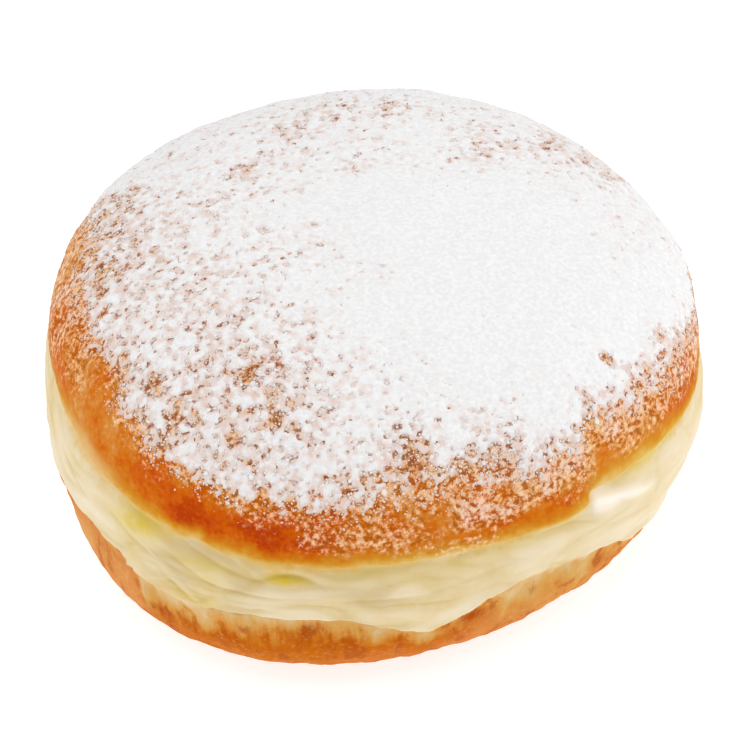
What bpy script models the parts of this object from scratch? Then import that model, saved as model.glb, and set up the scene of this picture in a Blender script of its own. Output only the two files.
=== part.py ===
"""A jelly filled doughnut, whole and uncut: one round bun, about 95 mm wide and 52 mm tall.

A browned crown domes over a pale belt, which swells out under the crown's edge. Below the
belt a browned base draws in, off centre, to the flat foot that the bun rests on.
Metres, +Z up. The origin is on the foot's plane, under the middle of the bun's own box.
"""

import math

import bmesh
import bpy

MM = 0.001

# Driving dimensions
RADIUS = 46.3 * MM  # from the middle to the crown's rim, before the outline's waves
CROWN_TOP = 51.6 * MM  # height of the crown's highest point
RIM_HEIGHT = 28.8 * MM  # height at which the bun is widest, before the rim's waves
SUNK = 0.8 * MM  # how far the underside bulges below the foot's plane before it is cut flat
CROWN_FULLNESS = 2.5  # 2 makes an ellipse, and more is boxier
UNDERSIDE_FULLNESS = 5.0

# The crown's lower edge, the belt and the base
EDGE_BELOW_RIM = 0.7 * MM  # the browned crown ends this far under its rim
EDGE_GROOVE = 0.8 * MM  # depth of the groove that the crown's edge leaves over the belt
GROOVE_HALF_WIDTH = 1.2 * MM
BELT_FOOT = 16.3 * MM  # mean height of the scalloped line where belt and base meet
BELT_SWELL = 0.8 * MM  # how far the belt stands out
BELT_SQUARENESS = 0.7  # 1 swells the belt like a half sine wave, and less makes it flatter
BASE_SETBACK = 0.8 * MM  # how far the base lies behind the belt's lower lip
SETBACK_DROP = 2.5 * MM  # height over which the base draws in

# One lobe of the crown's edge hangs over the belt and ends in a step
LOBE_STEP_ANGLE = math.radians(309)
LOBE_DROP = 2.0 * MM
LOBE_STEP_WIDTH = math.radians(2.5)
LOBE_LENGTH = math.radians(55)

# How the bun is uneven: the base sits aside, the crown leans and the top is a little dimpled
BASE_SHIFT = (-2.9 * MM, -0.8 * MM)
CROWN_LEAN = (-0.4 * MM, 0.0 * MM)
DIMPLE_DEPTH = 0.6 * MM
DIMPLE_PLACE = (20.0 * MM, -14.0 * MM)
DIMPLE_RADIUS = 12.0 * MM

# Waves round the bun: how many, how high, and the angle of the first crest in degrees
OUTLINE_WAVES = ((2, 0.40 * MM, 7), (3, 0.90 * MM, -4), (4, 0.37 * MM, -29))
RIM_WAVES = ((1, 1.64 * MM, 174), (2, 0.96 * MM, 13), (3, 1.16 * MM, -52))
BELT_FOOT_WAVES = ((1, 1.2 * MM, 200), (8, 1.8 * MM, 34.5))
CROWN_WAVES = ((3, 0.35 * MM, 70), (5, 0.25 * MM, 20))

# The mesh: rings crowd towards the belt, where the form turns fastest
SEGMENTS = 96
RINGS = 48
RING_CROWDING = 0.5

CRUST_COLOUR = (0.50, 0.17, 0.03, 1.0)
CRUST_ROUGHNESS = 0.6
FOOT_EDGE_ANGLE = math.radians(50)  # only edges that turn more than this are shaded sharp


def clear_scene():
    for thing in list(bpy.data.objects):
        bpy.data.objects.remove(thing, do_unlink=True)


def waves(angle, terms):
    """The height, at this angle round the bun, of cosine waves added together."""
    return sum(
        height * math.cos(count * (angle - math.radians(crest)))
        for count, height, crest in terms
    )


def smooth_step(x):
    x = min(max(x, 0.0), 1.0)
    return x * x * (3 - 2 * x)


def rim_height(angle):
    return RIM_HEIGHT + waves(angle, RIM_WAVES)


def lobe(angle):
    """0 away from the hanging lobe of the crown's edge and 1 just before its step."""
    before = (LOBE_STEP_ANGLE - angle) % (2 * math.pi)
    if before > math.pi:
        before -= 2 * math.pi
    step = smooth_step(before / LOBE_STEP_WIDTH + 0.5)
    return step * (1 - smooth_step(before / LOBE_LENGTH))


def edge_height(angle):
    """Height of the browned crown's lower edge."""
    return rim_height(angle) - EDGE_BELOW_RIM - LOBE_DROP * lobe(angle)


def belt_foot_height(angle):
    return BELT_FOOT + waves(angle, BELT_FOOT_WAVES)


def side_relief(angle, height):
    """How far the bun's side stands out from its plain round form."""
    edge = edge_height(angle)
    foot = belt_foot_height(angle)
    up_the_belt = min(max((height - foot) / (edge - foot), 0.0), 1.0)
    belt = BELT_SWELL * math.sin(math.pi * up_the_belt) ** BELT_SQUARENESS
    groove = EDGE_GROOVE * math.exp(-(((height - edge) / GROOVE_HALF_WIDTH) ** 2))
    setback = BASE_SETBACK * smooth_step((foot - height) / SETBACK_DROP)
    return belt - groove - setback


def superellipse(slope, half_width, half_height, fullness):
    """Distance from the middle to a superellipse's curve, in the direction of this slope."""
    across = (math.cos(slope) / half_width) ** fullness
    up = (abs(math.sin(slope)) / half_height) ** fullness
    return (across + up) ** (-1 / fullness)


def dimple(x, y):
    away = math.hypot(x - DIMPLE_PLACE[0], y - DIMPLE_PLACE[1]) / DIMPLE_RADIUS
    return DIMPLE_DEPTH * math.exp(-away * away)


def bun_point(angle, slope):
    """The point of the bun's skin seen from its middle at this angle round and slope up."""
    rim = rim_height(angle)
    half_width = RADIUS + waves(angle, OUTLINE_WAVES)
    if slope > 0:
        reach = superellipse(slope, half_width, CROWN_TOP - rim, CROWN_FULLNESS)
    else:
        reach = superellipse(slope, half_width, rim + SUNK, UNDERSIDE_FULLNESS)
    across = reach * math.cos(slope)
    height = rim + reach * math.sin(slope)
    out = across / half_width
    on_the_side = smooth_step(2 * out - 1)  # the relief fades out towards the middle
    across += side_relief(angle, height) * on_the_side
    lower = max((rim - height) / rim, 0.0)
    x = across * math.cos(angle) + BASE_SHIFT[0] * lower
    y = across * math.sin(angle) + BASE_SHIFT[1] * lower
    if slope > 0:
        upper = (height - rim) / (CROWN_TOP - rim)
        lean = (CROWN_LEAN[0] * x + CROWN_LEAN[1] * y) / RADIUS
        height += upper * (lean - dimple(x, y) + out * waves(angle, CROWN_WAVES))
    return x, y, height


def shape_bun(mesh_editor):
    """Moves each point of a round ball out, or in, to the bun's skin."""
    for vertex in mesh_editor.verts:
        angle = math.atan2(vertex.co.y, vertex.co.x)
        from_top = math.acos(max(-1.0, min(1.0, vertex.co.z)))
        from_top += RING_CROWDING * math.sin(2 * from_top) / 2
        vertex.co = bun_point(angle, math.pi / 2 - from_top)


def cut_foot(mesh_editor):
    """Cuts the round underside off at height 0 and closes it with one flat face."""
    everything = mesh_editor.verts[:] + mesh_editor.edges[:] + mesh_editor.faces[:]
    bmesh.ops.bisect_plane(
        mesh_editor,
        geom=everything,
        plane_co=(0, 0, 0),
        plane_no=(0, 0, -1),
        clear_outer=True,
    )
    rim = [edge for edge in mesh_editor.edges if edge.is_boundary]
    for vertex in {vertex for edge in rim for vertex in edge.verts}:
        vertex.co.z = 0
    bmesh.ops.edgeloop_fill(mesh_editor, edges=rim)


def centre_on_box(mesh_editor):
    """Moves the bun sideways until its box is centred over the origin."""
    xs = [vertex.co.x for vertex in mesh_editor.verts]
    ys = [vertex.co.y for vertex in mesh_editor.verts]
    middle = ((min(xs) + max(xs)) / 2, (min(ys) + max(ys)) / 2, 0)
    bmesh.ops.translate(
        mesh_editor,
        verts=mesh_editor.verts,
        vec=[-offset for offset in middle],
    )


def crust_material():
    material = bpy.data.materials.new("fried_crust")
    material.use_nodes = True
    shader = material.node_tree.nodes["Principled BSDF"]
    shader.inputs["Base Color"].default_value = CRUST_COLOUR
    shader.inputs["Roughness"].default_value = CRUST_ROUGHNESS
    shader.inputs["Metallic"].default_value = 0.0
    return material


def make_doughnut(collection):
    mesh_editor = bmesh.new()
    bmesh.ops.create_uvsphere(
        mesh_editor, u_segments=SEGMENTS, v_segments=RINGS, radius=1
    )
    shape_bun(mesh_editor)
    cut_foot(mesh_editor)
    centre_on_box(mesh_editor)
    bmesh.ops.recalc_face_normals(mesh_editor, faces=mesh_editor.faces)
    mesh = bpy.data.meshes.new("doughnut")
    mesh_editor.to_mesh(mesh)
    mesh_editor.free()
    mesh.shade_smooth()
    mesh.set_sharp_from_angle(angle=FOOT_EDGE_ANGLE)
    mesh.materials.append(crust_material())
    doughnut = bpy.data.objects.new("doughnut", mesh)
    collection.objects.link(doughnut)
    return doughnut


def main():
    clear_scene()
    collection = bpy.data.collections.new("jelly_doughnut")
    bpy.context.scene.collection.children.link(collection)
    make_doughnut(collection)


main()
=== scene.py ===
"""The looks of a jelly filled doughnut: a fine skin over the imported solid, dusted with sugar.

The skin is one mesh. How high a point is over the crust's edge, how brown it is and so on
are worked out at each of its points and kept as attributes, which the material turns into
colour. The powdered sugar is mesh too: a lacy coat, and loose grains and clumps.
Points are numpy rows in millimetres until a mesh is made from them, in metres.
"""

import math

import bmesh
import bpy
import numpy as np
from mathutils import Euler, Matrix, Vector
from mathutils.bvhtree import BVHTree


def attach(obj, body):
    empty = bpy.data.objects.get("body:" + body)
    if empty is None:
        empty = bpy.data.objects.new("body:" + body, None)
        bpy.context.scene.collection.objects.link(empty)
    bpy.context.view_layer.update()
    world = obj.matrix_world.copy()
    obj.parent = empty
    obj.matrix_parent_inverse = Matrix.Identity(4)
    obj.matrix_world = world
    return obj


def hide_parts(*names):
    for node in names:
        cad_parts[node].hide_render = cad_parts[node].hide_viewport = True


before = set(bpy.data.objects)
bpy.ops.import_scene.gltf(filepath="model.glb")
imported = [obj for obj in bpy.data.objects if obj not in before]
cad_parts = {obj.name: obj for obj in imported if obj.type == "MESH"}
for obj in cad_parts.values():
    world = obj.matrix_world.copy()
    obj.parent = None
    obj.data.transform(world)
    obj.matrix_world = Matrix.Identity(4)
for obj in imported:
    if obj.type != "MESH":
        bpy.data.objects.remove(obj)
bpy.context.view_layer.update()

MM = 0.001
TURN = 2 * math.pi

# ---- the bun's named sizes, in mm
MIDDLE = np.array([0.0, 0.0, 27.0])  # inside the bun, where every line of sight starts
CROWN_RADIUS = 46.3
# The lower edge of the browned crown: waves as count, height and the bearing of a crest
EDGE_HEIGHT = 28.6
EDGE_WAVES = ((1, 1.64, 174), (2, 0.96, 13), (3, 1.16, -52))
# Small rises and dips of that edge: bearing, half width in degrees, mm
EDGE_RISES = (
    (212, 9, -0.2),
    (233.5, 3, -0.4),
    (238.5, 2.5, 0.5),
    (252, 9, -0.4),
    (280, 5, 0.6),
    (313, 4, 0.5),
    (320, 14, 0.7),
)
# The lobe that hangs from the edge at the front right, and the ledge past its step
LOBE_STEP_ANGLE = math.radians(309)
LOBE_DROP = 1.8
LOBE_STEP_WIDTH = math.radians(1.0)
LOBE_LENGTH = math.radians(55)
LOBE_ROLL = 0.45  # how far it swells out
LEDGE_HEIGHT = 28.3
LEDGE_SLOPE = 0.29  # mm down for each degree round
LEDGE_OUT = 0.75
LEDGE_GROOVE = 0.25  # depth of the crease over the ledge
# Height of the line where the pale belt ends and the browned base begins, by bearing
FOOT_LINE = (
    (0, 15.6), (20, 17.2), (40, 15), (62, 17.9), (85, 16.2),
    (105, 14.4), (128, 17.4), (150, 15.8), (172, 17.6), (190, 19.8),
    (204, 22.1), (213, 21.4), (223.4, 20.6), (224.6, 18.4), (234, 17.8),
    (239, 17.9), (244, 18.5), (262, 18.3), (268, 16.3), (273, 14.7),
    (278, 13.2), (283, 15), (288, 17.7), (297, 18.6), (305, 17.6),
    (310, 17.6), (315, 16.7), (320, 14.7), (326, 13.8), (334, 13),
    (345, 14.2),
)
# How gently belt turns to base: bearing, mm until it is fully brown, and how pale it stays
FOOT_FADE = (
    (0, 5, 0.1), (30, 9.2, 0.5), (60, 4.5, 0.15), (85, 6.5, 0),
    (112, 5, 0.4), (140, 9.4, 0.25), (165, 4.6, 0.1), (190, 5, 0.6),
    (204, 4, 0.68), (223.4, 4, 0.62), (225, 9.8, 0.25), (238, 9, 0.05),
    (245, 7.6, 0), (262, 7, 0), (268, 5.8, 0), (278, 4, 0.05),
    (286, 3.8, 0.2), (292, 8, 0.55), (298, 9.4, 0.7), (306, 9.4, 0.7),
    (312, 8.6, 0.65), (318, 5, 0.4), (340, 5, 0.35),
)
# Swellings and hollows of the side: bearing, half width in degrees, height, half height, mm
BULGES = (
    (186, 13, 31, 3.5, -1),
    (187, 15, 25.5, 3.5, -0.7),
    (190, 14, 20, 2.4, -1),
    (166, 13, 37.5, 5, -0.5),
    (355, 10, 27.5, 6, -0.9),
    (334, 9, 14, 4, -0.6),
    (308, 10, 5, 4, -0.25),
)

# Unevenness, as layers of noise: size and height
CROWN_LUMPS = ((11.0, 0.22), (5.0, 0.12), (2.2, 0.07), (1.2, 0.05))
BASE_LUMPS = ((12.0, 0.22), (5.0, 0.12), (1.6, 0.05))
BASE_WRINKLES = ((2.4, 0.15), (1.2, 0.08))
VEIN_SIZE, VEIN_DEPTH = 4.2, 0.10  # shallow valleys that wander over the crust
PUFF_HEIGHT = 0.34  # of the belt's soft folds
CRUST_FADE = 3.0  # how far over its edge the crust has its full unevenness
EDGE_ROLL = 0.28  # how far the crust's edge swells out
EDGE_GROOVE = 0.22  # depth of the groove under it
LIP_OUT = 0.34  # how far the belt's lower edge hangs out over the base
LIP_GROOVE = 0.32
BASE_STEP = 0.45  # how far the base stands back under the lip

SKIN_CELLS = 127  # along each side of the cube that the skin's grid is blown up from
# Powdered sugar
COAT_CELL = 0.27  # the coat's grid
COAT_THICK = 0.04, 0.14  # at its ragged edge and where it lies deep
COAT_THINNEST = 0.02
COAT_LUMPS = ((1.3, 0.03), (0.6, 0.03))
COAT_SUNK = 0.04  # how far the coat's rim goes into the crust
GRAIN_COUNT = 24500
GRAIN_RADIUS = 0.09, 0.24
GRAIN_FLATNESS = 0.8
CLUMP_COUNT = 2300
CLUMP_RADIUS = 0.16, 0.40
CLUMP_FLATNESS = 0.45
TRIES = 6  # places tried for each grain that is wanted


# ---- numbers
def smooth_step(x, low=0.0, high=1.0):
    x = np.clip((x - low) / (high - low), 0.0, 1.0)
    return x * x * (3 - 2 * x)


def hump(x, half_width):
    return np.exp(-((x / half_width) ** 2))


def apart(angle, other):
    """The signed turn from other to angle, from -pi to pi."""
    return (angle - other + math.pi) % TURN - math.pi


def near_angle(angle, degrees, half_width):
    """1 at this bearing round the bun, fading out over half_width degrees to each side."""
    return hump(np.degrees(apart(angle, math.radians(degrees))), half_width)


def near_angles(angle, rows):
    """What a table adds at each bearing: rows of bearing, half width in degrees, and how much."""
    return sum(most * near_angle(angle, degrees, wide) for degrees, wide, most in rows)


def waves(angle, terms):
    return sum(
        height * np.cos(count * (angle - math.radians(crest)))
        for count, height, crest in terms
    )


# ---- noise
GRADIENTS = np.array(
    [[x, y, 0] for x in (-1, 1) for y in (-1, 1)]
    + [[x, 0, z] for x in (-1, 1) for z in (-1, 1)]
    + [[0, y, z] for y in (-1, 1) for z in (-1, 1)],
    float,
)


def lattice_hash(x, y, z, seed):
    """A repeatable whole number for each cell of a lattice."""
    n = (x * 73856093) ^ (y * 19349663) ^ (z * 83492791) ^ (seed * 50331653)
    n &= 0xFFFFFFFF
    n = ((n ^ (n >> 15)) * 0x2C1B3C6D) & 0xFFFFFFFF
    n = ((n ^ (n >> 12)) * 0x297A2D39) & 0xFFFFFFFF
    return n ^ (n >> 15)


def noise(points, size, seed):
    """Smooth noise, about -1 to 1, whose bumps are about size mm apart."""
    place = points / size
    cell = np.floor(place).astype(np.int64)
    inside = place - cell
    ease = inside**3 * (inside * (inside * 6 - 15) + 10)
    total = np.zeros(len(points))
    for corner in np.ndindex(2, 2, 2):
        corner = np.array(corner)
        spot = cell + corner
        which = lattice_hash(spot[:, 0], spot[:, 1], spot[:, 2], seed) % 12
        pull = ((inside - corner) * GRADIENTS[which]).sum(1)
        share = np.where(corner, ease, 1 - ease).prod(1)
        total += pull * share
    return total * 1.5


def layered(points, layers, seed):
    """Noise of several sizes added together, each layer as (size, weight)."""
    return sum(
        weight * noise(points, size, seed + i) for i, (size, weight) in enumerate(layers)
    )


# ---- lines round the bun
def angle_of(points):
    return np.arctan2(points[:, 1], points[:, 0])


def ring_points(angle):
    """Points on a circle, for noise that goes once round the bun and meets itself."""
    return np.stack([np.cos(angle), np.sin(angle), 0 * angle], 1) * CROWN_RADIUS


def round_table(angle, rows, column):
    """A value from a table of bearings, eased from row to row right round the bun."""
    degrees = np.degrees(angle) % 360
    return np.interp(degrees, [row[0] for row in rows], [row[column] for row in rows], period=360)


def lobe(angle):
    """0 away from the hanging lobe of the crown's edge and 1 just before its step."""
    before = -apart(angle, LOBE_STEP_ANGLE)
    step = smooth_step(before / LOBE_STEP_WIDTH + 0.5)
    return step * (1 - smooth_step(before / LOBE_LENGTH))


def edge_height(angle):
    """Height of the lower edge of the browned crown."""
    ragged = 0.35 * noise(ring_points(angle), 6.0, 3) + 0.2 * noise(ring_points(angle), 2.4, 4)
    rises = near_angles(angle, EDGE_RISES) - LOBE_DROP * lobe(angle)
    return EDGE_HEIGHT + waves(angle, EDGE_WAVES) + rises + ragged


def foot_height(angle):
    """Height of the scalloped line where the pale belt ends and the base begins."""
    ragged = 0.45 * noise(ring_points(angle), 3.5, 5) + 0.25 * noise(ring_points(angle), 1.4, 6)
    return round_table(angle, FOOT_LINE, 1) + ragged


# ---- rays and grids
def tree_of(points, faces):
    return BVHTree.FromPolygons(points.tolist(), faces)


def solid_tree(node):
    mesh = node.data
    points = np.array([vertex.co for vertex in mesh.vertices]) / MM
    return tree_of(points, [list(face.vertices) for face in mesh.polygons])


def directions(polar, angle):
    """Unit vectors at this angle from straight up and this bearing."""
    flat = np.sin(polar)
    return np.stack([flat * np.cos(angle), flat * np.sin(angle), np.cos(polar)], 1)


def seen(tree, ways):
    """Where each line of sight from the bun's middle leaves the bun, and the normal there."""
    found = [tree.ray_cast(MIDDLE, way)[:2] for way in ways]
    return np.array([hit[0] for hit in found]), np.array([hit[1] for hit in found])


def mean_profile(tree):
    """The bun's mean outline: polar angle, distance from the axis, and height."""
    polar = np.linspace(0.001, math.pi - 0.001, 240)
    bearing = np.linspace(0, TURN, 24, endpoint=False)
    across, up = np.meshgrid(bearing, polar)
    points, _ = seen(tree, directions(up.ravel(), across.ravel()))
    out = np.hypot(points[:, 0], points[:, 1]).reshape(up.shape).mean(1)
    height = points[:, 2].reshape(up.shape).mean(1)
    return polar, out, height


def running_area(out, height, weight):
    """Area of the bun's skin from the top down to each ring of its profile."""
    steps = np.hypot(np.diff(out), np.diff(height))
    middles = (out[1:] + out[:-1]) / 2 * (weight[1:] + weight[:-1]) / 2
    return np.concatenate([[0], np.cumsum(steps * middles)])


def blown_cube(cells):
    """Directions and faces of a cube's even grid, blown up to a ball."""
    editor = bmesh.new()
    bmesh.ops.create_cube(editor, size=2)
    bmesh.ops.subdivide_edges(
        editor, edges=editor.edges[:], cuts=cells - 1, use_grid_fill=True
    )
    corners = np.array([vertex.co for vertex in editor.verts])
    faces = [[vertex.index for vertex in face.verts] for face in editor.faces]
    editor.free()
    corners = np.tan(corners * math.pi / 4)
    return corners / np.linalg.norm(corners, axis=1, keepdims=True), faces


def smoothed(values, faces, rounds):
    """Values at points, each replaced by the mean of its neighbours, several times over."""
    quads = np.array(faces)
    start = quads.ravel()
    end = np.roll(quads, -1, axis=1).ravel()
    count = np.bincount(start, minlength=len(values)) + np.bincount(end, minlength=len(values))
    for _ in range(rounds):
        total = np.bincount(start, values[end], len(values))
        total += np.bincount(end, values[start], len(values))
        values = total / count
    return values


def point_normals(points, faces):
    quads = np.array(faces)
    across = points[quads[:, 2]] - points[quads[:, 0]]
    along = points[quads[:, 3]] - points[quads[:, 1]]
    flat = np.cross(across, along)
    normals = np.zeros_like(points)
    for column in range(4):
        for axis in range(3):
            normals[:, axis] += np.bincount(quads[:, column], flat[:, axis], len(points))
    return normals / np.linalg.norm(normals, axis=1, keepdims=True)


def placed(name, data):
    """A new object, linked to the scene."""
    thing = bpy.data.objects.new(name, data)
    bpy.context.scene.collection.objects.link(thing)
    return thing


def mesh_object(name, points, faces, material, fields=None):
    mesh = bpy.data.meshes.new(name)
    mesh.from_pydata((points * MM).tolist(), [], faces)
    mesh.shade_smooth()
    for field, values in (fields or {}).items():
        layer = mesh.attributes.new(field, "FLOAT", "POINT")
        layer.data.foreach_set("value", np.asarray(values, np.float32))
    mesh.materials.append(material)
    return placed(name, mesh)


# ---- the skin's shape
def skin_grid(tree):
    """The skin before its relief, with finer cells on the side than on the crown."""
    polar, out, height = mean_profile(tree)
    side = smooth_step(out, 36, 42) * smooth_step(height, 4, 10) * smooth_step(38 - height, 0, 5)
    weight = 1 + 1.2 * side - 0.6 * smooth_step(3 - height, 0, 3)
    area = running_area(out, height, weight)
    ball, faces = blown_cube(SKIN_CELLS)
    share = (1 - ball[:, 2]) / 2
    ways = directions(np.interp(share * area[-1], area, polar), np.arctan2(ball[:, 1], ball[:, 0]))
    points, _ = seen(tree, ways)
    reach = smoothed(np.linalg.norm(points - MIDDLE, axis=1), faces, 14)
    return MIDDLE + ways * reach[:, None], faces


# Folds of the belt: bearing, height, half length and half height in mm, depth, tilt, bend
CREASES = (
    (254, 25.5, 3.6, 0.5, 0.85, 0.03, -0.055), (254, 26.7, 4.4, 0.5, -0.32, 0.02, -0.05),
    (254, 24.5, 4.4, 0.4, -0.2, 0.02, -0.01), (227, 28.2, 3.4, 1, 0.32, -0.12, 0),
    (243.5, 25.4, 6.5, 0.42, 0.4, -0.26, 0.012), (236, 24.2, 4.5, 0.5, 0.3, -0.4, 0),
    (247, 22.2, 9, 0.45, 0.3, -0.04, 0.008), (268, 21.6, 9, 0.4, 0.22, -0.05, 0.006),
    (236.5, 20.6, 4.2, 0.45, -0.34, -0.9, 0), (235, 19.6, 3.6, 0.6, 0.35, -0.85, 0),
    (243, 28.2, 5.5, 0.4, -0.26, -0.62, 0.012), (229, 24.6, 4.5, 0.4, -0.3, -0.55, 0),
    (239, 18.9, 2.6, 0.5, 0.3, 0.85, 0), (231, 20.2, 3, 0.45, -0.24, 0.45, 0),
    (249, 20.4, 8, 0.4, -0.22, 0.02, 0), (288, 22.5, 7, 0.5, 0.18, 0.12, 0),
    (332, 19.5, 7, 0.55, 0.22, 0.15, 0), (348, 23.5, 5, 0.6, 0.35, -0.1, 0.01),
    (12, 21, 7, 0.5, 0.3, 0.08, 0), (38, 24, 4, 0.8, 0.5, 0.05, -0.02),
    (61, 21.5, 6.5, 0.45, 0.28, -0.12, 0), (88, 23.8, 5, 0.6, 0.4, 0.1, 0.01),
    (115, 22, 7, 0.5, 0.28, -0.06, 0), (140, 25, 3.8, 0.75, 0.5, 0.06, -0.02),
    (165, 23, 6, 0.5, 0.3, 0.12, 0), (190, 25.5, 5, 0.6, 0.35, -0.08, 0),
    (207, 26, 5.5, 0.5, 0.3, -0.2, 0),
)
# Places where the belt is stained yellow with fat: bearing, height, half length, half height, share
STAINS = (
    (226.5, 27.3, 4, 1.7, 0.9), (240, 25.3, 5, 1.1, 0.45), (253.8, 25.2, 3.4, 0.75, 1),
    (240.5, 23.6, 3.2, 1, 0.45), (233, 22, 3.5, 1.8, 0.1), (238, 18.6, 4, 1.4, 0.45),
    (268, 25.7, 8.5, 1.5, 0.3), (284, 25.5, 4, 1.2, 0.28), (296, 25, 8, 0.8, 0.3),
    (325, 27.9, 7, 1.4, 0.6), (352, 24, 5, 1.2, 0.35), (14, 26.2, 6, 1.2, 0.45),
    (38, 24.6, 4, 1.2, 0.8), (66, 26.5, 6, 1.1, 0.4), (90, 24.2, 4.5, 1, 0.6),
    (118, 26, 6, 1.3, 0.4), (141, 25.8, 4, 1.1, 0.75), (168, 27, 6, 1.2, 0.4),
    (192, 26, 5, 1, 0.3),
)
# Places where the base is baked darkest: bearing, height, half length, half height, share
SCORCHES = (
    (228.5, 11.1, 4.5, 1.2, 0.45), (245.3, 13.8, 1.3, 1.3, 0.75), (256.8, 14.4, 1.1, 1.5, 0.7),
    (250.5, 10, 2.5, 0.9, 0.45), (285.5, 13, 3, 1.6, 0.7), (298.6, 13.6, 1, 2.4, 0.55),
    (307, 11.2, 2.2, 0.9, 0.5), (317, 12.4, 1.8, 1.2, 0.45), (213, 15.5, 2, 1.2, 0.3),
    (345, 11, 3.5, 1.3, 0.55), (12, 12.6, 2, 1.8, 0.6), (36, 10.5, 3, 1.2, 0.45),
    (58, 13.4, 1.8, 1.6, 0.65), (84, 11.5, 3.6, 1.4, 0.55), (108, 10.2, 2.2, 1.1, 0.5),
    (131, 13, 2.6, 1.8, 0.6), (157, 11.2, 3.2, 1.2, 0.5), (180, 13.8, 2, 1.4, 0.45),
)


def foot_softness(angle):
    """0 where belt and base meet in a lip, 1 where one fades into the other."""
    return smooth_step(round_table(angle, FOOT_FADE, 1), 7.9, 9.2)


def mm_round(angle, degrees):
    """How far round the side a point is from a bearing, in mm."""
    return apart(angle, math.radians(degrees)) * CROWN_RADIUS


def spots(angle, height, table):
    """How far each point is inside a table's soft oval spots."""
    share = np.zeros_like(height)
    for degrees, level, half_length, half_height, most in table:
        spread = hump(mm_round(angle, degrees), half_length) * hump(height - level, half_height)
        share = np.maximum(share, most * spread)
    return share


def creases(angle, height):
    """Depth of the belt's folds at each point, in mm."""
    depth = np.zeros_like(height)
    for degrees, level, half_length, half_height, deepest, tilt, bend in CREASES:
        along = mm_round(angle, degrees)
        up = height - level - tilt * along - bend * along**2
        depth += deepest * hump(along, half_length) * hump(up, half_height)
    return depth


def ledge(angle, height):
    """How far below the ledge right of the lobe's step a point is, in mm, and the ledge's share."""
    along = np.degrees(apart(angle, LOBE_STEP_ANGLE))
    share = smooth_step(along, 0.0, 1.2) * (1 - smooth_step(along, 8.0, 19.0))
    return LEDGE_HEIGHT - LEDGE_SLOPE * along - height, share


def bulges(angle, height):
    return sum(
        out * near_angle(angle, degrees, half_width) * hump(height - level, half_height)
        for degrees, half_width, level, half_height, out in BULGES
    )


def stretched(angle, height, around, up):
    """Points for noise that is stretched round the bun or up its side."""
    ring = ring_points(angle) / around
    ring[:, 2] = height / up
    return ring


def measure(points):
    """The fields that say where on the bun each point is."""
    angle = angle_of(points)
    height = points[:, 2]
    return {
        "angle": angle,
        "height": height,
        "above_edge": height - edge_height(angle),
        "above_foot": height - foot_height(angle),
    }


def puffs(angle, height):
    """The belt's soft folds: rounded, with narrow valleys between them, from 0 to about 1."""
    bend = layered(stretched(angle, height, 2.0, 1.0), ((7.0, 0.8),), 25)
    place = stretched(angle, height + 1.6 * bend, 3.4, 1.0)
    return np.abs(noise(place, 3.6, 20)) ** 0.7 + 0.35 * np.abs(noise(place, 1.7, 21)) ** 0.8


def crown_relief(points, angle, over):
    """The crust's lumps and veins, the roll at its edge and the groove under that."""
    crown = smooth_step(over, 0.0, CRUST_FADE)
    veins = smooth_step(0.22 - np.abs(noise(points, VEIN_SIZE, 15)), 0, 0.22)
    roll = EDGE_ROLL * hump(over - 1.3, 1.2)
    lobe_roll = LOBE_ROLL * lobe(angle) * hump(over - 1.5, 2.2) * near_angle(angle, 302, 9)
    groove = EDGE_GROOVE - 0.18 * near_angle(angle, 299, 12)  # it is shallow under the lobe
    lumps = layered(points, CROWN_LUMPS, 10) - VEIN_DEPTH * veins
    return crown * lumps + roll + lobe_roll - groove * hump(over + 0.5, 0.8)


def ledge_relief(angle, height):
    """The ledge that stands out under the crust's edge, and the crease over it."""
    below, share = ledge(angle, height)
    shelf = smooth_step(below, -0.2, 0.4) * (1 - smooth_step(below, 0.6, 4.5))
    return share * (LEDGE_OUT * shelf - LEDGE_GROOVE * hump(below + 0.7, 0.7))


def lip_relief(angle, under):
    """The belt's lip over the base, and how the base stands back under it."""
    soft = foot_softness(angle)
    lip = LIP_OUT * hump(under - 0.6, 0.8) - LIP_GROOVE * hump(under + 0.45, 0.45)
    back = smooth_step(-under, -0.1 - 1.5 * soft, 0.5 + 1.5 * soft)
    return (1 - soft) * lip - BASE_STEP * back


def relief(points, where):
    """How far the finished skin stands out from the plain one, in mm."""
    angle, height = where["angle"], where["height"]
    over, under = where["above_edge"], where["above_foot"]
    base = smooth_step(-under, 0.0, 0.8)
    belt = (1 - smooth_step(over, 0.0, CRUST_FADE)) * (1 - base)
    folds = PUFF_HEIGHT * puffs(angle, height) - creases(angle, height)
    wrinkles = layered(stretched(angle, height, 1.0, 4.5), BASE_WRINKLES, 30)
    shape = crown_relief(points, angle, over) + belt * folds
    shape += ledge_relief(angle, height) + lip_relief(angle, under)
    shape += base * (wrinkles + layered(points, BASE_LUMPS, 40))
    return shape + bulges(angle, height)


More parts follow.
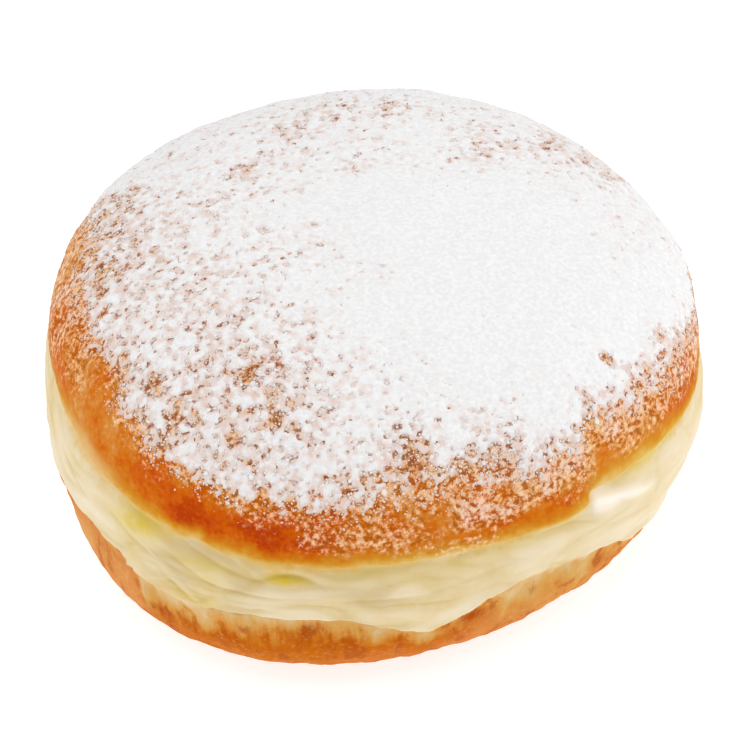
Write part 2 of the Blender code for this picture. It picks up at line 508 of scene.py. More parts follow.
def make_skin(material):
    tree = solid_tree(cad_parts["doughnut"])
    plain, faces = skin_grid(tree)
    where = measure(plain)
    normals = point_normals(plain, faces)
    points = plain + normals * relief(plain, where)[:, None]
    foot = smooth_step(plain[:, 2], 0.0, 1.5)
    points[:, 2] = np.maximum(plain[:, 2] + (points[:, 2] - plain[:, 2]) * foot, 0)
    normals = point_normals(points, faces)
    folds = creases(where["angle"], where["height"])
    fields = {
        "browner": where["above_edge"] * edge_softness(where["angle"]),
        "browning": browning(points, where),
        # Painted light and shade on the belt, with some random tone
        "belt_light_and_tone": belt_light_and_tone(points, where),
        "stain": spots(where["angle"], where["height"], STAINS),
        "edge_pale": edge_pallor(where),
        "scorch": spots(where["angle"], where["height"], SCORCHES),
        # Painted highlight on top of the ledge
        "white": ledge_highlight(where),
        "puff": puffs(where["angle"], where["height"]),
        **foot_fields(points, where),
        # Painted shade, yellowed, in the belt's creases
        "crease_shade": smooth_step(folds, 0.05, 0.5),
        # Painted highlight on the belt's raised folds
        "ridge_highlight": smooth_step(-folds, 0.04, 0.26),
        "dust": np.maximum(thickness(points, normals), film(where)),
        "under_sugar": inside_dusting(points, normals),
    }
    skin = mesh_object("doughnut_skin", points, faces, material, fields)
    return skin, points, faces


# ---- where it is brown
# Where crust turns to belt gently: bearing, half width in degrees, how much
SOFT_EDGES = ((209, 15, 0.42), (322, 13, 0.30))
# Where the crust is baked darker, or paler where the last number is below 0: bearing, half width,
# mm over its edge, half height, how much
DARKER = (
    (246, 17, 5, 3.2, 0.42),
    (236, 10, 5.5, 3, 0.08),
    (298, 10, 3.6, 2.2, 0.08),
    (211, 13, 2, 2.4, -0.2),
)
# Where it is paler all the way up: bearing, half width, how much
PALER = ((196, 24, 0.16), (223, 7, 0.09), (312, 5, 0.10), (322, 22, 0.12))
CRUST_MOTTLE = ((8.0, 0.16), (3.2, 0.16), (1.4, 0.12))
# Where the crust's edge was shielded from the fat: bearing, half width, how pale
PALE_EDGES = ((25, 16, 0.45), (128, 12, 0.50), (211.5, 9, 0.70))
# Where painted light makes the belt nearly white, and where painted shade makes it dull: bearing,
# half width, how much
LIT_BELT = ((345, 36, 0.49), (205, 16, 0.35))
SHADED_BELT = ((236, 11, 0.45), (269, 9, 0.16))
SHADED_BELT_TOP = ((255, 15, 0.55),)  # painted shade, only in the belt's upper part


def edge_softness(angle):
    """1 where crust turns to belt quickly, and less where it does so gently."""
    return 1 - near_angles(angle, SOFT_EDGES)


def browning(points, where):
    """How dark the crust is baked, from 0, pale gold, to 1, deep red-brown."""
    angle, over = where["angle"], where["above_edge"]
    local = sum(
        most * near_angle(angle, degrees, wide) * hump(over - level, high)
        for degrees, wide, level, high, most in DARKER
    )
    # Chance takes over on the side that the table leaves out
    chance = noise(ring_points(angle), 26.0, 45) * (1 - near_angle(angle, 268, 62))
    top = smooth_step(points[:, 2], 42, 48)
    evenly = 0.50 + 0.10 * top + 0.16 * chance - near_angles(angle, PALER)
    return np.clip(evenly + local + layered(points, CRUST_MOTTLE, 50), 0, 1)


def edge_pallor(where):
    """How pale the crust is left along its edge, where it was shielded from the fat."""
    return hump(where["above_edge"] - 1.4, 2.1) * near_angles(where["angle"], PALE_EDGES)


def belt_light_and_tone(points, where):
    """From -1 to 1, painted light and shade with some random tone: below 0 painted shade, at 1
    painted light, nearly white.
    """
    angle, over_foot = where["angle"], where["above_foot"]
    painted_shade = near_angles(angle, SHADED_BELT)
    painted_shade += near_angles(angle, SHADED_BELT_TOP) * smooth_step(over_foot, 3.0, 6.3)
    # Painted light where it falls brightest, and along the belt's lower edge just above the foot
    pale = near_angles(angle, LIT_BELT) + 0.20 * hump(over_foot - 2.2, 2.0)
    return np.clip(pale - painted_shade + 0.30 * noise(points, 7.0, 55), -1, 1)


def ledge_highlight(where):
    """1 on top of the ledge, a painted highlight where its top catches the light."""
    below_ledge, share = ledge(where["angle"], where["height"])
    near_step = 1 - smooth_step(np.degrees(apart(where["angle"], LOBE_STEP_ANGLE)), 1, 9)
    return share * hump(below_ledge - 0.5 - 0.6 * near_step, 0.8 + 0.9 * near_step)


def foot_fields(points, where):
    """How belt turns to base: whether it is base, how brown and how pale it is, and the dark seam
    under the belt's lip.
    """
    angle = where["angle"]
    soft = foot_softness(angle)
    below = -where["above_foot"] + layered(points, ((2.4, 0.35), (1.1, 0.2)), 57)
    start, full = -0.3 - 2.2 * soft, 0.4 + 3.0 * soft
    toward = below / round_table(angle, FOOT_FADE, 1) + 0.22 * noise(points, 6.0, 58)
    side = smooth_step(where["height"], 0.5, 8.0)
    foot = 1.15 + 0.35 * layered(points, ((9.0, 1.0), (3.5, 0.6)), 59)
    toward = side * toward + (1 - side) * foot
    return {
        "base_share": np.clip((below - start) / (full - start), -0.5, 1.5),
        "toward_base": np.clip(toward, -0.5, 3.0),
        "base_pale": round_table(angle, FOOT_FADE, 2) * side,
        # A thin dark line, partly the start of the base's brown crust and partly painted shadow
        # under the belt's lip
        "seam_shadow": (1 - soft) * hump(where["above_foot"] + 0.5, 0.5),
    }


# ---- where it is dusted
# The height at which the dusting has thinned out to half, and over what height, by bearing
SUGAR_LINE = (
    (0, 34, 2.5), (30, 33, 3), (75, 32, 3), (120, 33, 3),
    (142, 36, 3), (158, 41.6, 4), (170, 43.6, 3.6), (185, 44.3, 3.4),
    (198, 43.9, 3), (207, 43.2, 3), (218, 41.5, 2.8), (228, 38.8, 3),
    (240, 37.8, 3), (252, 36.8, 4.5), (262, 36.4, 5.5), (272, 37.4, 6.5),
    (284, 37, 6), (297, 35.6, 5.5), (307, 36.4, 5), (314, 38.6, 4.5),
    (324, 37.9, 5.2), (335, 36.7, 6.5), (345, 35.8, 4),
)
# Fine dust on the steep side: bearing, the height where it starts, and how thick it is
FILM = (
    (12, 31.8, 0.44), (35, 32, 0.34), (75, 31.5, 0.28), (110, 33, 0.3),
    (140, 34, 0.32), (165, 35.5, 0.46), (185, 36, 0.5), (200, 37, 0.26),
    (212, 39, 0.06), (220, 38.5, 0.08), (228, 36, 0.14), (240, 37, 0.05),
    (246, 34, 0.14), (252, 32.8, 0.42), (260, 31.4, 0.41), (268, 30, 0.32),
    (280, 30.4, 0.36), (290, 30.2, 0.6), (304, 30.2, 0.6), (311, 32, 0.46),
    (318, 32.6, 0.53), (328, 32.8, 0.56), (345, 31.6, 0.54),
)
# Places on the steep side with more of that dust, and with less: bearing, height, half length
# and half height, how much
DRIFTS = (
    (286, 33, 1.8, 1.7, 0.36), (282.6, 27.5, 3.4, 1.7, 0.34), (290, 36.8, 1.5, 2.2, 0.15),
    (303, 34.8, 3.6, 2.2, 0.12), (265, 31, 3, 1.6, 0.12), (322, 37, 4, 2.2, 0.15),
    (338, 34.5, 3, 2, 0.12), (205, 40, 2.5, 2, 0.08), (193, 42, 3, 2.6, 0.22),
)
BARE = (
    (279.8, 33, 2.6, 2.2, 0.34), (285.5, 30, 4.5, 0.8, 0.35), (286.5, 36.4, 1.5, 1.5, 0.35),
    (293.5, 35, 2, 2, 0.2), (297, 29.8, 4, 1.3, 0.3), (255, 33.5, 2, 1.6, 0.2),
    (313.5, 33.2, 3, 2.3, 0.3), (330, 35.5, 3, 1.6, 0.22), (196, 38, 3, 2, 0.14),
)
# Places where the dusting is thicker or thinner: x, y, radius, and how much
SUGAR_PATCHES = (
    (17.5, -11.5, 25, 0.14), (-27, -25, 19, -0.13), (-36, 4, 9, -0.22),
    (-8, -37, 10, -0.08), (5, -41, 5, -0.16), (4.8, -40, 2, -0.42),
    (12, -40.6, 2.2, -0.4), (17.5, -38.2, 2.6, -0.34), (10.5, -37.6, 2, 0.18),
    (14.6, -40.6, 1.4, 0.3), (12, -44, 3, 0.2), (-9, -44, 3.5, 0.22),
    (15, -39, 6, -0.14), (30, 20, 9, -0.08), (-17, 12, 2.2, -0.3),
    (-1, 11, 1.8, -0.28), (17, 15, 4, -0.14), (6, 27, 3, -0.16),
    (-4, 27, 4, -0.12), (-9, 22, 2.5, -0.16), (34, 18, 3.5, -0.18),
    (27, 19, 2.5, -0.14), (-16, -27, 4, -0.12), (-13, -34, 3.5, -0.12),
    (-27, -31.5, 3.2, -0.34), (-16.6, -28, 1, -0.4), (-14, -31.5, 0.9, -0.36),
    (-13.5, -34.7, 1, -0.38), (-19.3, -36.5, 1, -0.4), (-16.8, -39, 1, -0.38),
    (-30, -26, 1, -0.4), (-12, -28.2, 0.8, -0.35), (-31, -21, 2.5, 0.14),
    (-29.5, -30.5, 1.3, 0.25), (-36, -22, 3, -0.35), (-35, 13, 3, -0.25),
    (-36, -4, 3, -0.2), (32, -23.5, 0.8, -0.8), (32, -32, 4, -0.1),
)


def inside_dusting(points, normals):
    """1 within the ragged edge of the dusting and 0 outside it."""
    angle = angle_of(points)
    ragged = 1.2 * noise(ring_points(angle), 5.0, 60) + 0.7 * noise(points, 2.5, 61)
    line = round_table(angle, SUGAR_LINE, 1) + ragged
    fade = round_table(angle, SUGAR_LINE, 2)
    inside = smooth_step((points[:, 2] - line) / fade * 0.5 + 0.5)
    upward = smooth_step(normals[:, 2], 0.02, 0.35)
    return inside * upward


def density(points, normals):
    """How thick the dusting is on the whole: 0 is bare, and at 1 and over none shows through."""
    thick = 0.93 + 0.04 * noise(points, 8.0, 62)
    for x, y, radius, more in SUGAR_PATCHES:
        away = np.hypot(points[:, 0] - x, points[:, 1] - y)
        thick += more * hump(away, radius)
    return thick * inside_dusting(points, normals)


FILM_MOST = 0.60  # above it the dust's specks would run together
SIFTED = ((2.4, 0.40), (1.35, 0.80))  # unevenness of sifted sugar, as layers of noise


def film(where):
    """The fine dust that hangs on the steep side, down to near the crust's edge."""
    angle, height = where["angle"], where["height"]
    start = round_table(angle, FILM, 1)
    place = stretched(angle, height, 1.0, 1.0)
    patchy = np.clip(0.95 + 0.6 * noise(place, 4.2, 63), 0.3, 1.3)
    start = start + 1.4 * noise(place, 5.0, 64)
    thick = round_table(angle, FILM, 2) * patchy * smooth_step(height, start - 3.0, start + 2.2)
    thick += spots(angle, height, DRIFTS) - spots(angle, height, BARE)
    return np.clip(thick, 0, FILM_MOST)


def thickness(points, normals):
    """The dusting at each point: its density made uneven, as sifted sugar falls."""
    mean = density(points, normals)
    uneven = 0.32 * smooth_step(1.12 - mean, 0.0, 0.35) * smooth_step(mean, 0.0, 0.15)
    return np.clip(mean + uneven * layered(points, SIFTED, 70), 0, 1.2)


# ---- sugar
COAT_FROM = 0.66  # the thickness at which sugar is a coat and not just loose grains
LACE = 0.82  # how far apart the coat's finest holes are, in mm


def sugar_field(points, normals):
    """Above 0 where there is coat."""
    lacy = 0.50 * smooth_step(1.18 - density(points, normals), 0.0, 0.3)
    return thickness(points, normals) + lacy * noise(points, LACE, 80) - COAT_FROM


class Crown:
    """A flat disc, equal in area all over, that is laid on the crown and the belt's top."""

    def __init__(self, skin_points, skin_faces):
        self.tree = tree_of(skin_points, skin_faces)
        polar, out, height = mean_profile(self.tree)
        area = running_area(out, height, np.ones_like(out))
        kept = height > EDGE_HEIGHT - 4.0
        self.polar = polar[kept]
        self.radius = np.sqrt(2 * area[kept])
        self.reach = self.radius[-1]

    def lay(self, flat):
        """Points and normals on the skin for points of the disc."""
        polar = np.interp(np.hypot(flat[:, 0], flat[:, 1]), self.radius, self.polar)
        return seen(self.tree, directions(polar, np.arctan2(flat[:, 1], flat[:, 0])))


def neighbours(grid, step):
    """The values of a grid's neighbouring cells, one step away."""
    return np.roll(grid, step, axis=(0, 1))


def make_coat(crown, material):
    """The sugar that lies as a coat, with a hole or a ragged edge wherever crust shows."""
    side = np.arange(-crown.reach, crown.reach, COAT_CELL)
    flat = np.stack(np.meshgrid(side, side, indexing="ij"), -1)
    rows = len(side)
    points, normals = crown.lay(flat.reshape(-1, 2))
    field = sugar_field(points, normals).reshape(rows, rows)
    field[np.hypot(flat[..., 0], flat[..., 1]) > crown.reach - 2 * COAT_CELL] = -1.0
    covered = field > 0
    drawn_in = np.zeros_like(flat)
    count = np.zeros((rows, rows))
    for step in ((0, 1), (1, 0), (0, -1), (-1, 0)):
        inner = neighbours(covered, step)
        share = np.clip(field / (field - neighbours(field, step) - 1e-9), 0.0, 0.9)
        shift = (neighbours(flat, step) - flat) * share[..., None]
        drawn_in += np.where(inner[..., None], shift, 0)
        count += inner
    outer = ~covered & (count > 0)
    flat = np.where(outer[..., None], flat + drawn_in / np.maximum(count, 1)[..., None], flat)
    used = covered | outer
    cell = used[:-1, :-1] & used[1:, :-1] & used[1:, 1:] & used[:-1, 1:]
    some = covered[:-1, :-1] | covered[1:, :-1] | covered[1:, 1:] | covered[:-1, 1:]
    number = np.arange(rows * rows).reshape(rows, rows)
    corners = [number[:-1, :-1], number[1:, :-1], number[1:, 1:], number[:-1, 1:]]
    quads = np.stack([corner[cell & some] for corner in corners], 1)
    kept, quads = np.unique(quads, return_inverse=True)
    quads = quads.reshape(-1, 4)
    points, normals = crown.lay(flat.reshape(-1, 2)[kept])
    depth = field.ravel()[kept]
    least, most = COAT_THICK
    thick = least + (most - least) * smooth_step(depth, 0.0, 0.3) + layered(points, COAT_LUMPS, 90)
    thick = np.where(covered.ravel()[kept], np.maximum(thick, COAT_THINNEST), -COAT_SUNK)
    dusting = thickness(points, normals)
    points = points + normals * thick[:, None]
    return mesh_object("sugar_coat", points, quads.tolist(), material, {"dust": dusting})


def crumb_shape(rings):
    """A small ball's points and faces: 6 points where rings is 0, and more above it."""
    editor = bmesh.new()
    if rings:
        bmesh.ops.create_icosphere(editor, subdivisions=rings, radius=1)
    else:
        bmesh.ops.create_uvsphere(editor, u_segments=4, v_segments=2, radius=1)
    points = np.array([vertex.co for vertex in editor.verts])
    faces = np.array([[v.index for v in face.verts] for face in editor.faces])
    editor.free()
    return points, faces


def frames(normals, turn):
    """Two directions along the skin at each normal, turned about it by turn."""
    side = np.cross(normals, np.stack([np.cos(turn), np.sin(turn), 0 * turn], 1))
    side /= np.linalg.norm(side, axis=1, keepdims=True)
    return side, np.cross(normals, side)


def scatter(name, crown, count, rings, radii, flatness, wanted, seed, material):
    """Grains joined into one mesh, each a crumpled ball half sunk in the skin."""
    random = np.random.default_rng(seed)
    tries = TRIES * count
    radius = crown.reach * np.sqrt(random.random(tries))
    bearing = random.random(tries) * TURN
    flat = np.stack([radius * np.cos(bearing), radius * np.sin(bearing)], 1)
    points, normals = crown.lay(flat)
    mean = density(points, normals)
    taken = np.flatnonzero(random.random(tries) < wanted(points, mean))[:count]
    points, normals, mean = points[taken], normals[taken], mean[taken]
    ball, faces = crumb_shape(rings)
    smallest, largest = radii
    size = smallest + (largest - smallest) * random.random(len(points)) ** 2.5
    lumps = 1 + 0.5 * (random.random((len(points), len(ball))) - 0.5)
    stretch = 0.7 + 0.6 * random.random((len(points), 3))
    stretch[:, 2] *= flatness
    body = ball[None] * lumps[..., None] * stretch[:, None, :] * size[:, None, None]
    side, other = frames(normals, random.random(len(points)) * TURN)
    axes = np.stack([side, other, normals], 1)
    body = np.einsum("gpa,gab->gpb", body, axes) + points[:, None, :]
    body += (normals * size[:, None] * flatness * 0.25)[:, None, :]
    steps = np.arange(len(points))[:, None, None] * len(ball)
    faces = (faces[None] + steps).reshape(-1, faces.shape[1])
    dusting = np.repeat(mean, len(ball))
    return mesh_object(name, body.reshape(-1, 3), faces.tolist(), material, {"dust": dusting})


def grain_chance(points, thick):
    """Loose grains lie thickest where the coat gives out, and a few fall on the belt."""
    loose = 2.4 * thick * (1.10 - thick) * smooth_step(thick, 0.03, 0.4) + 0.03 * (thick > 0.01)
    strays = near_angle(angle_of(points), 284.5, 3.2) * hump(points[:, 2] - 27.4, 1.6)
    return np.clip(loose + 0.10 * strays, 0, 1)


def clump_chance(points, thick):
    return smooth_step(thick, 0.25, 0.9) * (0.3 + 0.7 * (noise(points, 4.0, 95) > 0.0))


# ---- materials
def srgb(red, green, blue):
    """A colour given as it looks on a screen, 0 to 255, as the linear colour that shaders take."""
    return tuple(
        (c / 255 / 12.92) if c / 255 <= 0.04045 else ((c / 255 + 0.055) / 1.055) ** 2.4
        for c in (red, green, blue)
    ) + (1.0,)


class Nodes:
    """Short ways to add shader nodes to one material."""

    def __init__(self, name):
        self.material = bpy.data.materials.new(name)
        self.material.use_nodes = True
        self.tree = self.material.node_tree
        self.shader = self.tree.nodes["Principled BSDF"]
        self.place = self.tree.nodes.new("ShaderNodeTexCoord").outputs["Object"]

    def feed(self, node, inputs):
        """Sets a node's inputs by name or number, each to a plain value or another's output."""
        for key, value in inputs.items():
            if isinstance(value, (int, float, tuple)):
                node.inputs[key].default_value = value
            else:
                self.tree.links.new(value, node.inputs[key])

    def add(self, kind, inputs, **settings):
        node = self.tree.nodes.new("ShaderNode" + kind)
        for name, value in settings.items():
            setattr(node, name, value)
        self.feed(node, inputs)
        return node

    def finished(self, inputs):
        """The material, once its own shader's inputs are set."""
        self.feed(self.shader, inputs)
        return self.material

    def field(self, name):
        return self.add("Attribute", {}, attribute_name=name).outputs["Fac"]

    def math(self, operation, first, second=0.0, clamp=False):
        node = self.add("Math", {0: first, 1: second}, operation=operation, use_clamp=clamp)
        return node.outputs[0]

    def plus(self, first, second):
        return self.math("ADD", first, second)

    def times(self, first, second, clamp=False):
        return self.math("MULTIPLY", first, second, clamp)

    def noise(self, size_mm, detail=2.0, rough=0.5, stretch=(1, 1, 1)):
        """Noise from 0 to 1 whose bumps are about size_mm apart."""
        place = self.add("VectorMath", {0: self.place, 1: stretch}, operation="MULTIPLY")
        inputs = {"Scale": 1 / (size_mm * MM), "Detail": detail, "Roughness": rough}
        return self.add("TexNoise", {"Vector": place.outputs[0], **inputs}).outputs["Fac"]

    def swing(self, size_mm, detail, rough, stretch=(1, 1, 1)):
        """The same noise, but to both sides of 0."""
        return self.math("SUBTRACT", self.noise(size_mm, detail, rough, stretch), 0.5)

    def span(self, value, low, high, to_low=0.0, to_high=1.0):
        """Value, eased from to_low at low to to_high at high."""
        inputs = {"From Min": low, "From Max": high, "To Min": to_low, "To Max": to_high}
        node = self.add("MapRange", {"Value": value, **inputs}, interpolation_type="SMOOTHSTEP")
        return node.outputs["Result"]

    def ramp(self, value, stops):
        node = self.add("ValToRGB", {"Fac": value})
        elements = node.color_ramp.elements
        while len(elements) < len(stops):
            elements.new(0.5)
        for element, (position, colour) in zip(elements, stops):
            element.position = position
            element.color = colour
        return node.outputs["Color"]

    def mix(self, share, first, second):
        inputs = {"Factor": share, 6: first, 7: second}  # 6 and 7 are the two colours
        return self.add("Mix", inputs, data_type="RGBA").outputs[2]

    def bump(self, height, distance_mm, strength=1.0, below=None):
        inputs = {"Strength": strength, "Distance": distance_mm * MM, "Height": height}
        if below is not None:
            inputs["Normal"] = below
        return self.add("Bump", inputs).outputs["Normal"]


CREAM = srgb(230, 210, 166)
# Painted light on the belt, where it is lit brightest
LIT_CREAM = srgb(242, 230, 206)
CREAM_SHADE = srgb(225, 203, 150)
# Painted shade on the belt
SHADED_CREAM = srgb(213, 192, 150)
# Painted highlight on top of the ledge
HIGHLIGHT_CREAM = srgb(252, 244, 230)
# Painted shade, yellowed, in the belt's creases
CREASE_SHADE_YELLOW = srgb(198, 164, 84)
# Painted shade in the hollows of the belt's folds
SHADED_HOLLOW_CREAM = srgb(213, 187, 122)
# Painted highlight on the tops of the belt's folds
LIT_RIDGE_CREAM = srgb(238, 224, 194)
STAIN_YELLOW = srgb(222, 195, 68)
# The seam under the belt's lip: the base's crust starting, darkened as painted shadow
SEAM_SHADOW = srgb(172, 124, 76)
PALE_CRUST = srgb(230, 190, 134)
PALE_BASE = srgb(227, 168, 100)
BASE_DARK = srgb(168, 66, 0)
TAN_DUST = srgb(247, 204, 160)
THIN_SUGAR = srgb(240, 222, 214)
SHADED_CRUST = srgb(160, 80, 18)
SHADED_BROWN = srgb(148, 94, 62)  # of crust seen through holes in the coat: browner crust, darkened further as painted shade
SUGAR_WHITE = srgb(247, 247, 246)
SUGAR_SHADE = srgb(238, 237, 238)
SHEER_SUGAR = srgb(232, 209, 199)
LOOSE_SUGAR = srgb(240, 214, 190)
FLOOR_LIGHT = srgb(190, 190, 190)
FLOOR_DARK = srgb(186, 186, 186)
# From palest to most deeply browned
CRUST_COLOURS = (
    (0.0, srgb(227, 180, 116)),
    (0.30, srgb(214, 135, 53)),
    (0.50, srgb(210, 114, 15)),
    (0.75, srgb(206, 88, 0)),
    (1.0, srgb(184, 60, 0)),
)
# From the belt up to the crust
EDGE_COLOURS = (
    (0.0, srgb(228, 200, 140)),
    (0.35, srgb(224, 186, 112)),
    (0.6, srgb(218, 168, 78)),
    (0.8, srgb(213, 152, 48)),
    (1.0, srgb(209, 134, 24)),
)
# From the belt down to the foot, fully browned at the middle; the paler colours below it are
# painted light, as bounced up from the floor
BASE_COLOURS = (
    (0.0, srgb(218, 186, 134)),
    (0.12, srgb(214, 172, 106)),
    (0.25, srgb(215, 158, 78)),
    (0.38, srgb(207, 130, 42)),
    (0.5, srgb(199, 106, 4)),
    (0.6, srgb(200, 105, 8)),
    (0.75, srgb(208, 116, 36)),
    (1.0, srgb(212, 122, 50)),
)

# Sizes of what the colours and the bump show, in mm
CREAM_CLOUDS = 3.4
STAIN_CLOUDS = 2.0
EDGE_WOBBLE = 2.2
MOTTLE = 0.7
BASE_PATCHES = 3.6
BASE_STREAKS = 1.5
DUST_SPECKS = 0.75
PORES = 0.55
GRIT = 0.18
SUGAR_SHADES = 0.6
SUGAR_THINNINGS = 0.9
SUGAR_GRAINS = 0.22
FLOOR_CLOUDS = 60.0


def belt_colour(n):
    """Cream dough with random clouds of tone, painted shade, darker and yellower, in its hollows
    and creases, and painted highlight on its ridges.
    """
    cream = n.mix(n.span(n.noise(CREAM_CLOUDS, 4.0, 0.6), 0.35, 0.68), CREAM, CREAM_SHADE)
    # Painted shade on the belt
    cream = n.mix(n.span(n.field("belt_light_and_tone"), -0.5, -0.05, 0.75, 0.0), cream, SHADED_CREAM)
    # Painted shade in the folds' hollows, and painted highlight on their tops
    cream = n.mix(n.span(n.field("puff"), 0.0, 0.45, 0.65, 0.0), cream, SHADED_HOLLOW_CREAM)
    cream = n.mix(n.span(n.field("puff"), 0.45, 1.0, 0.0, 0.7), cream, LIT_RIDGE_CREAM)
    # Painted light on the belt, where it is lit brightest
    cream = n.mix(n.field("belt_light_and_tone"), cream, LIT_CREAM)
    # Painted shade, yellowed, in the creases
    cream = n.mix(n.times(n.field("crease_shade"), 0.55), cream, CREASE_SHADE_YELLOW)
    # Painted highlight on the raised folds
    return n.mix(n.times(n.field("ridge_highlight"), 0.4), cream, LIT_RIDGE_CREAM)


def upper_colour(n, over, to_crust, fine):
    """The belt, turning through gold at the crust's edge into browned crust."""
    edge = n.ramp(n.span(over, -1.4, 2.6), EDGE_COLOURS)
    colour = n.mix(n.span(over, -1.6, 0.1), belt_colour(n), edge)
    uneven = n.span(n.noise(STAIN_CLOUDS, 3.0), 0.2, 0.6, 0.6, 1.0)
    stained = n.times(n.field("stain"), uneven)
    colour = n.mix(stained, colour, STAIN_YELLOW)
    # Painted highlight along the top of the ledge
    colour = n.mix(n.field("white"), colour, HIGHLIGHT_CREAM)
    brown = n.plus(n.field("browning"), n.times(fine, 0.8))
    colour = n.mix(to_crust, colour, n.ramp(brown, CRUST_COLOURS))
    pale_edge = n.plus(n.field("edge_pale"), n.times(fine, 0.7))
    pale_edge = n.times(pale_edge, n.span(n.field("edge_pale"), 0.0, 0.3), clamp=True)
    return n.mix(pale_edge, colour, PALE_CRUST)


def base_colour(n, fine):
    """The browned base, streaked with pale dough at its top and scorched in spots."""
    streak = n.swing(BASE_STREAKS, 3.0, 0.6, stretch=(1, 1, 0.16))
    patchy = n.swing(BASE_PATCHES, 3.0, 0.55, stretch=(1, 1, 0.55))
    uneven = n.plus(n.times(patchy, 1.6), n.times(fine, 1.4))
    toward = n.plus(n.field("toward_base"), n.times(streak, 1.1))
    toward = n.plus(toward, n.times(patchy, 1.5))
    # The ramp's paler lower end is painted light, as bounced up from the floor
    base = n.ramp(n.times(toward, 0.5), BASE_COLOURS)
    pale = n.times(n.field("base_pale"), n.span(toward, 0.3, 1.0))
    pale = n.times(pale, n.span(uneven, -0.30, 0.12, 1.1, 0.55))
    base = n.mix(pale, base, PALE_BASE)
    blotch = n.span(n.plus(patchy, n.times(streak, 0.7)), 0.03, 0.20, 0.0, 0.5)
    base = n.mix(n.times(blotch, n.span(toward, 0.1, 0.7)), base, BASE_DARK)
    scorch = n.span(n.plus(n.field("scorch"), n.times(uneven, 0.6)), 0.15, 0.75, 0.0, 0.75)
    base = n.mix(n.times(n.span(n.field("scorch"), 0.0, 0.25), scorch), base, BASE_DARK)
    return n.mix(n.span(fine, 0.0, 0.22, 0.0, 0.35), base, PALE_BASE)


def dusted(n, colour, to_crust):
    """The finest dust, as specks on the crust, with painted shade on the crust between them."""
    dust = n.field("dust")
    speck = n.times(n.swing(DUST_SPECKS, 3.0, 0.6), 3.6)
    # Painted shade on the crust between the specks
    shade_between = n.times(n.span(dust, 0.05, 0.30, 0.0, 0.75), to_crust)
    shade_between = n.times(shade_between, n.span(speck, -0.50, 0.0, 1.0, 0.0))
    colour = n.mix(shade_between, colour, SHADED_CRUST)
    # Crust in the coat's holes: browner, and darkened as painted shade
    colour = n.mix(n.span(n.field("under_sugar"), 0.50, 0.95, 0.0, 0.70), colour, SHADED_BROWN)
    specks = n.times(n.span(n.plus(dust, speck), 0.16, 0.98), n.span(dust, 0.0, 0.20, 0.0, 0.92))
    return n.mix(specks, colour, n.mix(n.span(dust, 0.46, 0.74), TAN_DUST, THIN_SUGAR))


def dough_material():
    """Browned crust, pale belt and browned base, told apart by the skin's own fields."""
    n = Nodes("fried_dough")
    wobble = n.swing(EDGE_WOBBLE, 4.0, 0.6)
    fine = n.swing(MOTTLE, 3.0, 0.6)
    over = n.plus(n.field("browner"), n.times(wobble, 3.0))
    to_crust = n.span(over, 1.0, 3.6)
    base_share = n.span(n.plus(n.field("base_share"), n.times(wobble, 0.7)), 0.15, 0.85)
    colour = n.mix(base_share, upper_colour(n, over, to_crust, fine), base_colour(n, fine))
    # The seam under the belt's lip: the base's crust starting, darkened as painted shadow
    colour = n.mix(n.times(n.field("seam_shadow"), 0.9), colour, SEAM_SHADOW)
    pores = n.bump(n.noise(PORES, 3.0, 0.6), distance_mm=0.12, strength=0.5)
    return n.finished({
        "Base Color": dusted(n, colour, to_crust),
        "Roughness": n.span(to_crust, 0.0, 1.0, 0.72, 0.52),
        "Subsurface Weight": 0.15,
        "Subsurface Radius": (1.0, 0.45, 0.18),
        "Subsurface Scale": 1.5 * MM,
        "Specular IOR Level": 0.03,
        "Normal": n.bump(n.noise(GRIT), distance_mm=0.04, strength=0.5, below=pores),
    })


def sugar_material(name, thin_from, thin_to, sheer):
    """Powdered sugar, which takes a little of the crust's colour where it lies thin."""
    n = Nodes(name)
    white = n.mix(n.span(n.noise(SUGAR_SHADES, 3.0), 0.35, 0.7), SUGAR_SHADE, SUGAR_WHITE)
    uneven = n.times(n.swing(SUGAR_THINNINGS, 4.0, 0.65), 1.1)
    uneven = n.times(uneven, n.span(n.field("dust"), 0.85, 1.02, 1.0, 0.2))
    cover = n.span(n.plus(n.field("dust"), uneven), thin_from, thin_to)
    return n.finished({
        "Base Color": n.mix(cover, sheer, white),
        "Roughness": 0.85,
        "Specular IOR Level": 0.2,
        "Normal": n.bump(n.noise(SUGAR_GRAINS, 3.0, 0.7), distance_mm=0.08, strength=0.8),
    })


def floor_material():
    n = Nodes("studio_floor")
    return n.finished({
        "Base Color": n.mix(n.noise(FLOOR_CLOUDS), FLOOR_DARK, FLOOR_LIGHT),
        "Roughness": 0.9,
        "Specular IOR Level": 0.0,
        "Emission Color": (1, 1, 1, 1),
        "Emission Strength": 0.78,
    })


# ---- studio
CAMERA_ELEVATION = math.radians(41)
CAMERA_DISTANCE = 0.6
CAMERA_ROLL = 0.0521
CAMERA_LENS = 201.0
CAMERA_AIM = Vector((0.00028, -0.00161, 0.02315))
AROUND_STRENGTH = 0.56  # of the even light from all round
# Soft round lights: name, place in metres, width, and power in watts
LIGHTS = (
    ("overhead", (-0.05, -0.16, 0.88), 0.8, 2.75),
    ("right", (0.70, 0.05, 0.38), 0.6, 1.6),
    ("left", (-0.70, 0.05, 0.38), 0.6, 0.85),
)
FLOOR_REACH = 3.0


def make_camera():
    data = bpy.data.cameras.new("camera")
    data.lens = CAMERA_LENS
    data.sensor_width = 36
    data.clip_start = 0.01
    data.clip_end = 20
    camera = placed("camera", data)
    back = Vector((0, -math.cos(CAMERA_ELEVATION), math.sin(CAMERA_ELEVATION)))
    camera.location = CAMERA_AIM + back * CAMERA_DISTANCE
    camera.rotation_mode = "QUATERNION"
    roll = Euler((0, 0, -CAMERA_ROLL)).to_quaternion()
    camera.rotation_quaternion = back.to_track_quat("Z", "Y") @ roll
    bpy.context.scene.camera = camera


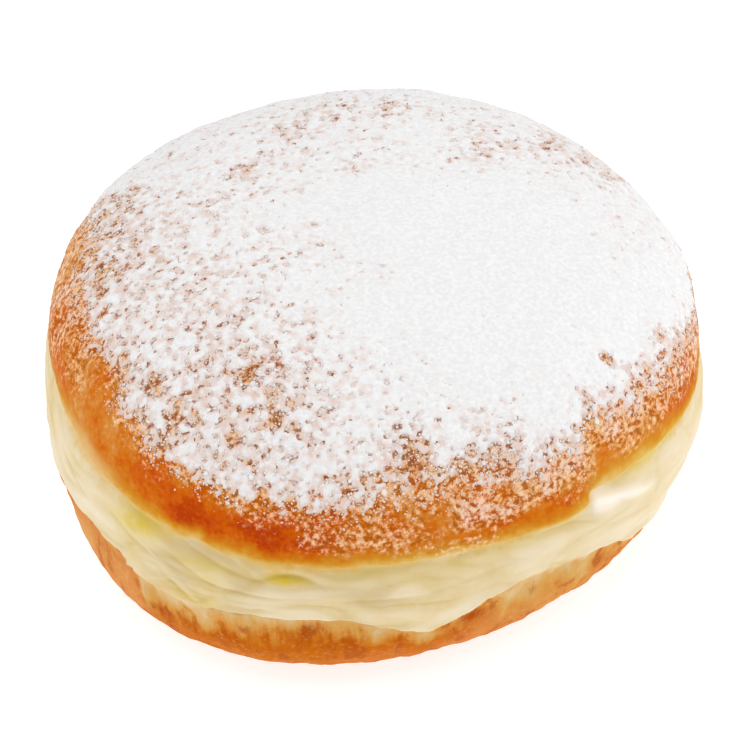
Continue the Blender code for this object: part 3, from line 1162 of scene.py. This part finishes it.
def area_light(name, place, size, power):
    data = bpy.data.lights.new(name, "AREA")
    data.shape = "DISK"
    data.size = size
    data.energy = power
    light = placed(name, data)
    light.location = place
    light.rotation_mode = "QUATERNION"
    light.rotation_quaternion = (Vector(place) - CAMERA_AIM).to_track_quat("Z", "Y")


def make_world():
    """Even light from all round, and plain white where the camera looks past the floor."""
    world = bpy.data.worlds.new("studio")
    world.use_nodes = True
    tree = world.node_tree
    around = tree.nodes["Background"]
    backdrop = tree.nodes.new("ShaderNodeBackground")
    for background, strength in ((around, AROUND_STRENGTH), (backdrop, 1.0)):
        background.inputs["Color"].default_value = (1, 1, 1, 1)
        background.inputs["Strength"].default_value = strength
    path = tree.nodes.new("ShaderNodeLightPath")
    choice = tree.nodes.new("ShaderNodeMixShader")
    tree.links.new(path.outputs["Is Camera Ray"], choice.inputs["Fac"])
    tree.links.new(around.outputs[0], choice.inputs[1])
    tree.links.new(backdrop.outputs[0], choice.inputs[2])
    tree.links.new(choice.outputs[0], tree.nodes["World Output"].inputs["Surface"])
    bpy.context.scene.world = world


def make_studio():
    make_world()
    bpy.context.scene.view_settings.view_transform = "Standard"
    for light in LIGHTS:
        area_light(*light)
    editor = bmesh.new()
    bmesh.ops.create_grid(editor, x_segments=8, y_segments=8, size=FLOOR_REACH)
    mesh = bpy.data.meshes.new("studio_floor")
    editor.to_mesh(mesh)
    editor.free()
    mesh.materials.append(floor_material())
    floor = placed("studio_floor", mesh)


# ---- all together
def main():
    skin, points, faces = make_skin(dough_material())
    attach(skin, "root")
    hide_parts("doughnut")
    crown = Crown(points, faces)
    coat = sugar_material("sugar_coat", thin_from=0.55, thin_to=1.02, sheer=SHEER_SUGAR)
    sugar = sugar_material("loose_sugar", thin_from=0.1, thin_to=0.8, sheer=LOOSE_SUGAR)
    pieces = [
        make_coat(crown, coat),
        scatter(
            "sugar_grains", crown, GRAIN_COUNT, 0, GRAIN_RADIUS, GRAIN_FLATNESS,
            grain_chance, 1, sugar,
        ),
        scatter(
            "sugar_clumps", crown, CLUMP_COUNT, 2, CLUMP_RADIUS, CLUMP_FLATNESS,
            clump_chance, 2, sugar,
        ),
    ]
    for piece in pieces:
        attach(piece, "root")
    make_camera()
    make_studio()


main()
